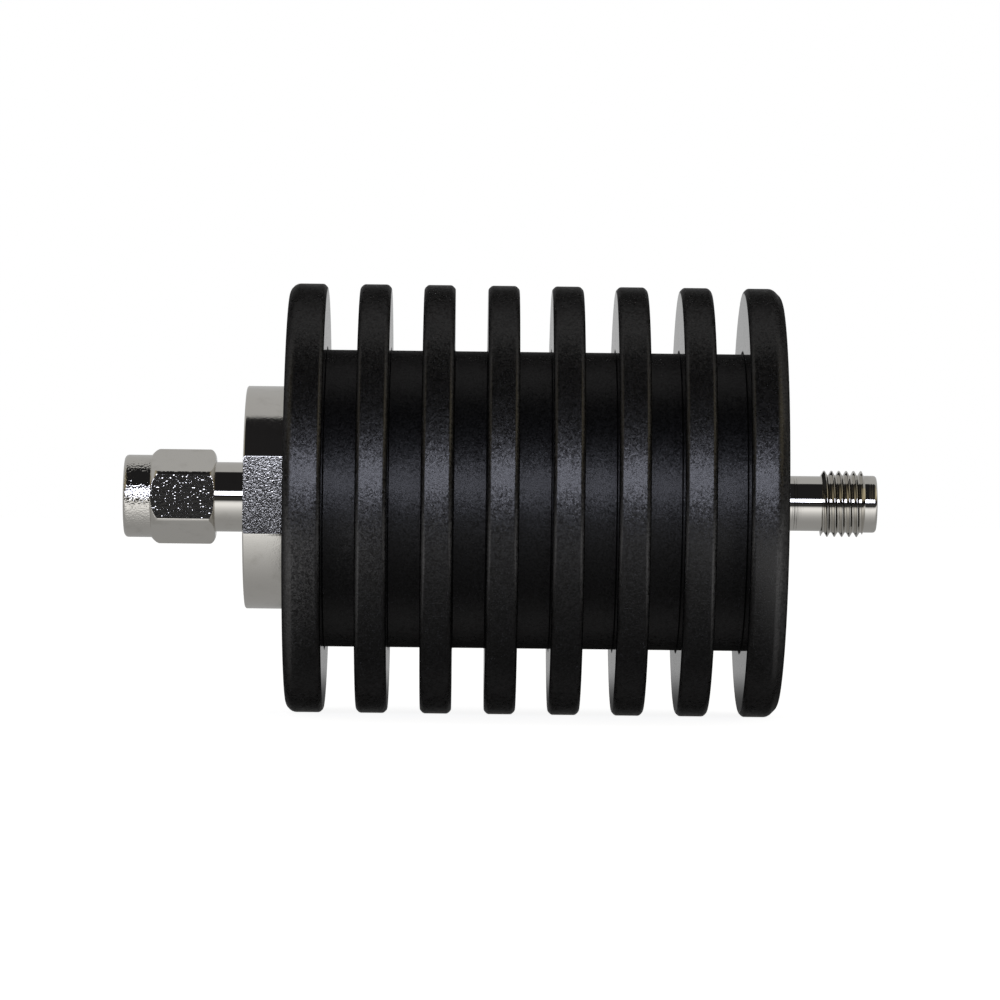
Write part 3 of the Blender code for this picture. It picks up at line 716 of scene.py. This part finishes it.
class ATTENUATOR_OT_heat_sink(bpy.types.Operator):
    """Turn the ribbed heat sink from its outline"""

    bl_idname = "attenuator.heat_sink"
    bl_label = "Heat Sink"

    def execute(self, context):
        sizes = settings().sink
        bar = SINK_HIGH.x - SINK_LOW.x
        solid = 2 * sizes.end_fin + (sizes.fins - 2) * sizes.fin
        groove = (bar - solid) / (sizes.fins - 1)
        outside = 2 * SINK_HIGH.z
        mouth_easing = 0.1 * MM
        corners = []
        x = SINK_LOW.x
        for rib in range(sizes.fins):
            first = rib == 0
            last = rib == sizes.fins - 1
            front = sizes.plug_edge if first else sizes.edge
            back = sizes.socket_edge if last else sizes.edge
            front_softness = sizes.end_softness if first else sizes.softness
            back_softness = sizes.end_softness if last else sizes.softness
            end = x + (sizes.end_fin if first or last else sizes.fin)
            if not first:
                corners.append(Corner(x, sizes.core, sizes.root_fillet))
            corners += [
                Corner(x, outside - 2 * front, front_softness),
                Corner(x + front, outside, front_softness),
                Corner(end - back, outside, back_softness),
                Corner(end, outside - 2 * back, back_softness),
            ]
            if not last:
                corners.append(Corner(end, sizes.core, sizes.root_fillet))
            x = end + groove
        inside = SINK_HIGH.x - sizes.end_wall
        corners += [
            Corner(SINK_HIGH.x, sizes.hole, mouth_easing),
            Corner(inside, sizes.hole),
            Corner(inside, sizes.bore),
            Corner(SINK_LOW.x, sizes.bore, mouth_easing),
        ]
        sink = turned("ribbed_heat_sink", corners, sizes.segments)
        smooth(sink)
        finish_piece(sink, BODY, ["heat_sink"], black_anodised())
        return {"FINISHED"}


class ATTENUATOR_OT_plug_body(bpy.types.Operator):
    """Turn the plug's body and mill its two wrench flats"""

    bl_idname = "attenuator.plug_body"
    bl_label = "Plug Body"

    def execute(self, context):
        sizes = settings().plug
        neck_fillet = 0.12 * MM
        spigot_easing = 0.3 * MM
        ring_front = RING_LOW.x - RING_GAP
        ring_back = RING_HIGH.x + RING_GAP
        flange_front = sizes.flange_back - sizes.flange_thickness
        rim = sizes.flange - 2 * sizes.edge
        spigot_back = sizes.flange_back + sizes.spigot_length
        corners = [
            Corner(PLUG_LOW.x, sizes.bore, FINE),
            Corner(PLUG_LOW.x, sizes.sleeve, FINE),
            Corner(sizes.sleeve_length, sizes.sleeve, FINE),
            Corner(sizes.sleeve_length, sizes.neck, FINE),
            Corner(ring_front, sizes.neck, FINE),
            Corner(ring_front, sizes.groove_floor),
            Corner(ring_back, sizes.groove_floor),
            Corner(ring_back, sizes.neck, FINE),
            Corner(flange_front, sizes.neck, neck_fillet),
            Corner(flange_front, rim, FINE),
            Corner(flange_front + sizes.edge, sizes.flange, FINE),
            Corner(sizes.flange_back - sizes.edge, sizes.flange, FINE),
            Corner(sizes.flange_back, rim, FINE),
            Corner(sizes.flange_back, sizes.spigot),
            Corner(spigot_back, sizes.spigot, spigot_easing),
            Corner(spigot_back, sizes.nose),
            Corner(PLUG_HIGH.x, sizes.nose, FINE),
            Corner(PLUG_HIGH.x, sizes.bore),
        ]
        plug = turned("plug_body", corners, sizes.segments)
        depth = sizes.flange / 2 - sizes.flat_depth
        for side in (-1, 1):
            outward = side * Vector((0, math.cos(sizes.flat_turn), math.sin(sizes.flat_turn)))
            edit(plug)
            cut(outward * depth, outward, clear_outer=True)
            # The flat has many corners, the facets beside it have four
            choose(
                plug,
                lambda face: face.normal.dot(outward) > SAME_WAY and len(face.verts) > 8,
                "FACE",
            )
            bpy.ops.mesh.region_to_loop()
            bpy.ops.mesh.bevel(offset=sizes.flat_easing, segments=EASING_STEPS, affect="EDGES")
            close_surface(plug)
        smooth(plug)
        coat = nickel(
            "plug_nickel",
            lambda board, place: board.between(board.radius(place), 4 * MM, 6 * MM),
            depths=(0.0002 * MM, 0.004 * MM),
            roughnesses=(0.03, 0.13),
            mark_depth=0.003 * MM,
        )
        finish_piece(plug, BODY, ["male_connector_body"], coat)
        return {"FINISHED"}


def quarter_arc(low_x, low_diameter, high_x, high_diameter, steps, fullness=1.0):
    """Corners between two diameters: a quarter of an ellipse that starts square to the axis, or
    something between that and a straight chamfer.
    """
    corners = []
    for step in range(steps + 1):
        angle = FULL_TURN / 4 * step / steps
        rise = math.sin(angle)
        along = fullness * (1 - math.cos(angle)) + (1 - fullness) * rise
        x = low_x + (high_x - low_x) * along
        corners.append(Corner(x, low_diameter + (high_diameter - low_diameter) * rise))
    return corners


def mill_hexagon(nut, across_flats, start):
    """Presses the turned surface behind a station onto a hexagon with corners up and down."""
    for vertex in nut.data.vertices:
        if vertex.co.x < start:
            continue
        radius = math.hypot(vertex.co.y, vertex.co.z)
        angle = math.atan2(vertex.co.y, vertex.co.z) % (FULL_TURN / 6) - FULL_TURN / 12
        milled = min(radius, across_flats / 2 / math.cos(angle))
        vertex.co.y *= milled / radius
        vertex.co.z *= milled / radius


class ATTENUATOR_OT_coupling_nut(bpy.types.Operator):
    """Turn the coupling nut, mill its hexagon and cut its inner thread"""

    bl_idname = "attenuator.coupling_nut"
    bl_label = "Coupling Nut"

    def execute(self, context):
        sizes = settings().nut
        thread = settings().socket
        front = NUT_LOW.x
        back = NUT_HIGH.x
        collar_end = front + sizes.collar_length
        hexagon_start = collar_end + sizes.shoulder
        groove = 2 * RING_HIGH.z + 2 * RING_GAP
        easing = sizes.collar_easing
        steps = sizes.arc_steps
        corners = [Corner(front, sizes.entry, FINE)]
        corners += quarter_arc(
            front, sizes.collar - 2 * easing, front + easing, sizes.collar, steps
        )
        corners += quarter_arc(
            collar_end, sizes.collar, hexagon_start, sizes.turned, steps, fullness=0.5
        )
        rim_arc = quarter_arc(
            back, sizes.rim, back - sizes.rim_easing, sizes.turned, steps, fullness=0.7
        )
        corners += reversed(rim_arc)
        corners += [
            Corner(back, sizes.bore, FINE),
            Corner(RING_HIGH.x + RING_GAP, sizes.bore),
            Corner(RING_HIGH.x + RING_GAP, groove),
            Corner(RING_LOW.x - RING_GAP, groove),
            Corner(RING_LOW.x - RING_GAP, sizes.bore),
            Corner(sizes.thread_end, sizes.bore),
            Corner(sizes.thread_end, sizes.thread_bore),
            Corner(front + sizes.entry_depth, sizes.thread_bore),
        ]
        nut = turned("hexagon_coupling_nut", corners, sizes.segments)
        mill_hexagon(nut, sizes.across_flats, collar_end + NEAR)
        # The tap runs on past the thread's end, and its root stays within the bore
        tap = threaded_rod(
            "nut_tap",
            thread,
            start=front - thread.pitch,
            end=sizes.thread_end + 0.3 * MM,
            crest=thread.crest + 2 * thread.nut_clearance,
            root=sizes.thread_bore - 0.1 * MM,
            crest_place=front + 0.2 * thread.pitch,
        )
        carve(nut, tap)
        smooth(nut, angle=12)
        coat = nickel(
            "nut_nickel",
            lambda board, place: board.between(
                board.part(place, "X"), collar_end - FINE, collar_end + FINE
            ),
            depths=(0.037 * MM, 0.0088 * MM),
            roughnesses=(0.03, 0.068),
            mark_depth=0.0006 * MM,
        )
        finish_piece(nut, NUT_BODY, ["coupling_nut"], coat)
        return {"FINISHED"}


class ATTENUATOR_OT_nut_fastening(bpy.types.Operator):
    """Bend the split ring that holds the nut and turn the gasket inside it"""

    bl_idname = "attenuator.nut_fastening"
    bl_label = "Snap Ring and Gasket"

    def execute(self, context):
        sizes = settings().nut
        colours = settings().colours
        section = tube(
            RING_LOW.x, RING_HIGH.x, sizes.ring_inner, 2 * RING_HIGH.z, easing=0.06 * MM
        )
        ring = draw_outline("split_snap_ring", section)
        bpy.ops.mesh.select_all(action="SELECT")
        bpy.ops.mesh.edge_face_add()
        spin_outline(ring, RING_SEGMENTS, FULL_TURN - sizes.ring_opening)
        smooth(ring)
        bronze = bare_metal("spring_bronze", colours.bronze, roughness=0.28, stroke="X")
        finish_piece(ring, NUT_BODY, ["nut_snap_ring"], bronze)
        corners = tube(
            GASKET_LOW.x, GASKET_HIGH.x, sizes.gasket_inner, 2 * GASKET_HIGH.z, easing=0.15 * MM
        )
        gasket = turned("sealing_gasket", corners, RING_SEGMENTS)
        smooth(gasket, angle=60)
        finish_piece(gasket, BODY, ["nut_gasket"], soft_rubber())
        return {"FINISHED"}


def insulator(name, node, bore):
    """A tube of white plastic between the line's bore and its conductor."""
    low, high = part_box(node)
    corners = tube(low.x, high.x, bore, 2 * high.z, easing=0.06 * MM)
    piece = smooth(turned(name, corners, RING_SEGMENTS))
    finish_piece(piece, BODY, [node], white_insulator())


class ATTENUATOR_OT_plug_line(bpy.types.Operator):
    """Turn the plug's insulator and its centre pin"""

    bl_idname = "attenuator.plug_line"
    bl_label = "Plug Insulator and Pin"

    def execute(self, context):
        sizes = settings().plug
        insulator("plug_insulator", "male_dielectric", sizes.insulator_bore)
        fine = 0.03 * MM
        tip_easing = 0.08 * MM
        corners = [
            Corner(PIN_LOW.x, 0),
            Corner(PIN_LOW.x, sizes.tip_end, tip_easing),
            Corner(PIN_LOW.x + sizes.tip_taper, sizes.tip, tip_easing),
            Corner(sizes.tip_step, sizes.tip),
            Corner(sizes.tip_step, sizes.pin, fine),
            Corner(PIN_HIGH.x, sizes.pin, fine),
            Corner(PIN_HIGH.x, 0),
        ]
        pin = smooth(turned("plug_pin", corners, CONTACT_SEGMENTS, closed=False))
        finish_piece(pin, BODY, ["male_center_pin"], gold_plate())
        return {"FINISHED"}


class ATTENUATOR_OT_socket_body(bpy.types.Operator):
    """Turn the socket's body and cut its outer thread"""

    bl_idname = "attenuator.socket_body"
    bl_label = "Socket Body"

    def execute(self, context):
        sizes = settings().socket
        front = SOCKET_HIGH.x
        plane = front - sizes.counterbore_depth
        pilot_start = front - sizes.pilot_length
        thread_start = pilot_start - sizes.thread_length
        shoulder_end = SOCKET_LOW.x + sizes.shoulder_length
        shoulder = 2 * SOCKET_HIGH.z
        corners = [
            Corner(SOCKET_LOW.x, sizes.bore),
            Corner(SOCKET_LOW.x, shoulder, FINE),
            Corner(shoulder_end, shoulder, FINE),
            Corner(shoulder_end, sizes.neck),
            Corner(thread_start, sizes.neck),
            Corner(thread_start + FINE, sizes.crest, FINE),
            Corner(pilot_start - sizes.run_out, sizes.crest, FINE),
            Corner(pilot_start, sizes.pilot, FINE),
            Corner(front, sizes.pilot, sizes.pilot_easing),
            Corner(front, sizes.counterbore, FINE),
            Corner(plane, sizes.counterbore),
            Corner(plane, sizes.bore, FINE),
        ]
        body = turned("socket_body", corners, sizes.segments)
        blank = tube(thread_start, pilot_start, sizes.neck, 2 * sizes.crest)
        die = turned("thread_die", blank, sizes.segments)
        rod = threaded_rod(
            "thread_rod",
            sizes,
            start=thread_start - sizes.pitch,
            end=pilot_start + sizes.pitch,
            crest=sizes.crest,
            root=sizes.root,
            crest_place=thread_start + sizes.first_crest,
        )
        carve(die, rod)
        carve(body, die)
        smooth(body, angle=38)
        coat = nickel(
            "socket_nickel",
            lambda board, place: 0.0,
            depths=(0.0002 * MM, 0.0002 * MM),
            roughnesses=(0.03, 0.03),
            mark_depth=0.02 * MM,
        )
        finish_piece(body, BODY, ["female_connector_body"], coat)
        return {"FINISHED"}


class ATTENUATOR_OT_socket_line(bpy.types.Operator):
    """Turn the socket's insulator and its slotted contact"""

    bl_idname = "attenuator.socket_line"
    bl_label = "Socket Insulator and Contact"

    def execute(self, context):
        sizes = settings().socket
        insulator("socket_insulator", "female_dielectric", sizes.insulator_bore)
        fine = 0.03 * MM
        mouth_easing = 0.05 * MM
        mouth = CONTACT_HIGH.x
        floor = mouth - sizes.contact_depth
        corners = [
            Corner(CONTACT_LOW.x, 0),
            Corner(CONTACT_LOW.x, sizes.contact, fine),
            Corner(mouth, sizes.contact, mouth_easing),
            Corner(mouth, sizes.contact_bore, mouth_easing),
            Corner(floor, sizes.contact_bore),
            Corner(floor, 0),
        ]
        contact = turned("socket_contact", corners, CONTACT_SEGMENTS, closed=False)
        along = 2 * sizes.slot_length
        across = 2 * sizes.contact
        for size in ((along, across, sizes.slot_width), (along, sizes.slot_width, across)):
            bpy.ops.object.select_all(action="DESELECT")
            bpy.ops.mesh.primitive_cube_add(size=1, location=(mouth, 0, 0), scale=size)
            carve(contact, bpy.context.object)
        smooth(contact)
        finish_piece(
            contact, BODY, ["female_center_contact"], gold_plate()
        )
        return {"FINISHED"}


class ATTENUATOR_OT_inner_parts(bpy.types.Operator):
    """Give the parts inside the heat sink their materials"""

    bl_idname = "attenuator.inner_parts"
    bl_label = "Inner Parts"

    def execute(self, context):
        colours = settings().colours
        steel = bare_metal("stainless_steel", colours.steel, roughness=0.25, stroke="Z")
        aluminium = bare_metal(
            "milled_aluminium", colours.aluminium, roughness=0.30, stroke="X"
        )
        gold = gold_plate()
        coats = {
            "element_carrier": aluminium,
            "carrier_cap": aluminium,
            "wave_spring_washer": steel,
            "attenuator_substrate": coated_ceramic(),
            "input_tab": gold,
            "output_tab": gold,
        }
        coats.update({name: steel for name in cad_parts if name.startswith("carrier_screw")})
        for name, material in coats.items():
            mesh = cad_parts[name].data
            mesh.materials.clear()
            mesh.materials.append(material)
        return {"FINISHED"}


# Stage


def paper_floor(stage):
    """White paper that keeps the shadow; metal sees it as a glow of painted light and shadow."""
    material, board = new_material("paper_floor")
    camera, glossy, through = [
        board.add("ShaderNodeLightPath", output=name)
        for name in ("Is Camera Ray", "Is Glossy Ray", "Is Transmission Ray")
    ]
    camera = camera + through
    place = board.place()
    forward = board.part(place, "Y")
    # Painted light that metal sees: bright in front of the attenuator, dim under it, dark far in
    # front
    painted_floor_light = board.between(forward, -45 * MM, -2 * MM, 1.15, 0.36)
    fading = board.between(forward, -110 * MM, -50 * MM, 0.04, 1.0)
    # Painted shadow of the heat sink, on both sides of the line on which it stands
    away = abs(board.part(place, "X") - SINK_MIDDLE)
    under = board.between(away, SINK_HALF - MM, SINK_HALF + 2 * MM, 1.0, 0.0)
    under = under * board.between(abs(forward), 30 * MM, 150 * MM, 0.80, 0.0)
    under = under * board.between(abs(forward), 4 * MM, 14 * MM)
    white = 1.8  # for the camera, well over the white of the picture
    diffuse = board.add("ShaderNodeBsdfDiffuse", sockets={"Color": rgba((stage.paper,) * 3)})
    # The glow that metal sees carries the painted light and the painted shadow
    strength = camera * white + glossy * painted_floor_light * fading * (1 - under)
    glow = board.add("ShaderNodeEmission", sockets={"Strength": strength})
    surface = board.add(
        "ShaderNodeMixShader",
        sockets={0: camera * (1 - stage.shadow) + glossy, 1: diffuse, 2: glow},
    )
    board.add("ShaderNodeOutputMaterial", sockets={"Surface": surface})
    return material


def light_world(stage):
    """White for the camera. The metal sees a backdrop behind the attenuator, the dark over the
    camera and at both ends, and warm walls at the camera's sides.
    """
    world = bpy.data.worlds.new("studio")
    bpy.context.scene.world = world
    world.use_nodes = True
    board = Board(world.node_tree)
    direction = board.add("ShaderNodeTexCoord", output="Generated")
    sideways, backwards, upwards = [board.part(direction, axis) for axis in "XYZ"]
    wall = board.between(sideways * sideways, 0.10, 0.60) * board.between(upwards, 0.10, 0.35)
    wall = wall * board.between(sideways, -0.2, 0.2, 0.5, 1.0)
    front = board.mixed(wall, rgba(stage.dark_side), rgba(stage.walls))
    behind = board.between(backwards, -0.02, 0.06)
    studio = board.mixed(behind, front, rgba((stage.backdrop,) * 3))
    aside = board.between(abs(sideways), 0.92, 0.97)
    studio = board.mixed(aside, studio, rgba(stage.dark_side))
    camera = board.add("ShaderNodeLightPath", output="Is Camera Ray")
    background = board.add(
        "ShaderNodeBackground", sockets={"Color": board.mixed(camera, studio, rgba((1, 1, 1)))}
    )
    board.add("ShaderNodeOutputWorld", sockets={"Surface": background})


def place_camera(stage):
    """Level camera in front of the attenuator, slightly panned and rolled."""
    eye = Vector((stage.foot, -stage.distance, 0))
    back = (eye - Vector((stage.centre, 0, 0))).normalized()
    level = Vector((0, 0, 1)).cross(back).normalized()
    right = Matrix.Rotation(stage.roll, 3, back) @ level
    up = back.cross(right)
    data = bpy.data.cameras.new("camera")
    data.lens = stage.lens
    data.sensor_width = 36
    data.clip_start = 10 * MM
    camera = bpy.data.objects.new("camera", data)
    bpy.context.scene.collection.objects.link(camera)
    turn = Matrix((right, up, back)).transposed()
    camera.matrix_world = Matrix.Translation(eye) @ turn.to_4x4()
    bpy.context.scene.camera = camera


def add_strip_light(stage):
    """Long upright softbox over the camera, which faces the attenuator."""
    low = stage.strip_distance * math.tan(stage.strip_low)
    high = stage.strip_distance * math.tan(stage.strip_high)
    middle = Vector((stage.centre - stage.strip_shift, -stage.strip_distance, (low + high) / 2))
    data = bpy.data.lights.new("strip_softbox", "AREA")
    data.shape = "RECTANGLE"
    data.size = stage.strip_width
    data.size_y = high - low
    data.energy = stage.strip_power
    data.color = stage.strip_tone
    light = bpy.data.objects.new("strip_softbox", data)
    bpy.context.scene.collection.objects.link(light)
    light.location = middle
    light.rotation_euler = (math.radians(90), 0, 0)


class ATTENUATOR_OT_stage(bpy.types.Operator):
    """Set up the pale floor, the soft light, the studio and the camera"""

    bl_idname = "attenuator.stage"
    bl_label = "Stage"

    def execute(self, context):
        stage = settings().stage
        bpy.ops.object.select_all(action="DESELECT")
        bpy.ops.mesh.primitive_plane_add(size=stage.floor, location=(stage.centre, 0, SINK_LOW.z))
        floor = bpy.context.object
        floor.name = "floor"
        bpy.ops.object.transform_apply(location=True)
        floor.data.materials.append(paper_floor(stage))
        light_world(stage)
        add_strip_light(stage)
        place_camera(stage)
        bpy.context.scene.view_settings.view_transform = "Standard"
        return {"FINISHED"}


OPERATORS = (
    ATTENUATOR_OT_heat_sink,
    ATTENUATOR_OT_plug_body,
    ATTENUATOR_OT_coupling_nut,
    ATTENUATOR_OT_nut_fastening,
    ATTENUATOR_OT_plug_line,
    ATTENUATOR_OT_socket_body,
    ATTENUATOR_OT_socket_line,
    ATTENUATOR_OT_inner_parts,
    ATTENUATOR_OT_stage,
)
GROUPS = (
    HeatSinkSizes,
    PlugSizes,
    NutSizes,
    SocketSizes,
    FinishColours,
    StageSizes,
    AttenuatorSettings,
)


class ATTENUATOR_PT_panel(bpy.types.Panel):
    """Lists the steps in their order and the settings of each piece"""

    bl_idname = "ATTENUATOR_PT_panel"
    bl_label = "Coaxial Attenuator"
    bl_space_type = "VIEW_3D"
    bl_region_type = "UI"
    bl_category = "Attenuator"

    def draw(self, context):
        steps = self.layout.column(align=True)
        for operator in OPERATORS:
            steps.operator(operator.bl_idname)
        for name in ("sink", "plug", "nut", "socket", "colours", "stage"):
            group = getattr(context.scene.attenuator, name)
            box = self.layout.box()
            box.label(text=name.title())
            for size in group.bl_rna.properties:
                if size.identifier not in ("rna_type", "name"):
                    box.prop(group, size.identifier)


def register():
    for item in (*GROUPS, *OPERATORS, ATTENUATOR_PT_panel):
        bpy.utils.register_class(item)
    bpy.types.Scene.attenuator = PointerProperty(type=AttenuatorSettings)


def unregister():
    del bpy.types.Scene.attenuator
    for item in reversed((*GROUPS, *OPERATORS, ATTENUATOR_PT_panel)):
        bpy.utils.unregister_class(item)


def main():
    register()
    bpy.ops.attenuator.heat_sink()
    bpy.ops.attenuator.plug_body()
    bpy.ops.attenuator.coupling_nut()
    bpy.ops.attenuator.nut_fastening()
    bpy.ops.attenuator.plug_line()
    bpy.ops.attenuator.socket_body()
    bpy.ops.attenuator.socket_line()
    bpy.ops.attenuator.inner_parts()
    bpy.ops.attenuator.stage()


if __name__ == "__main__":
    main()
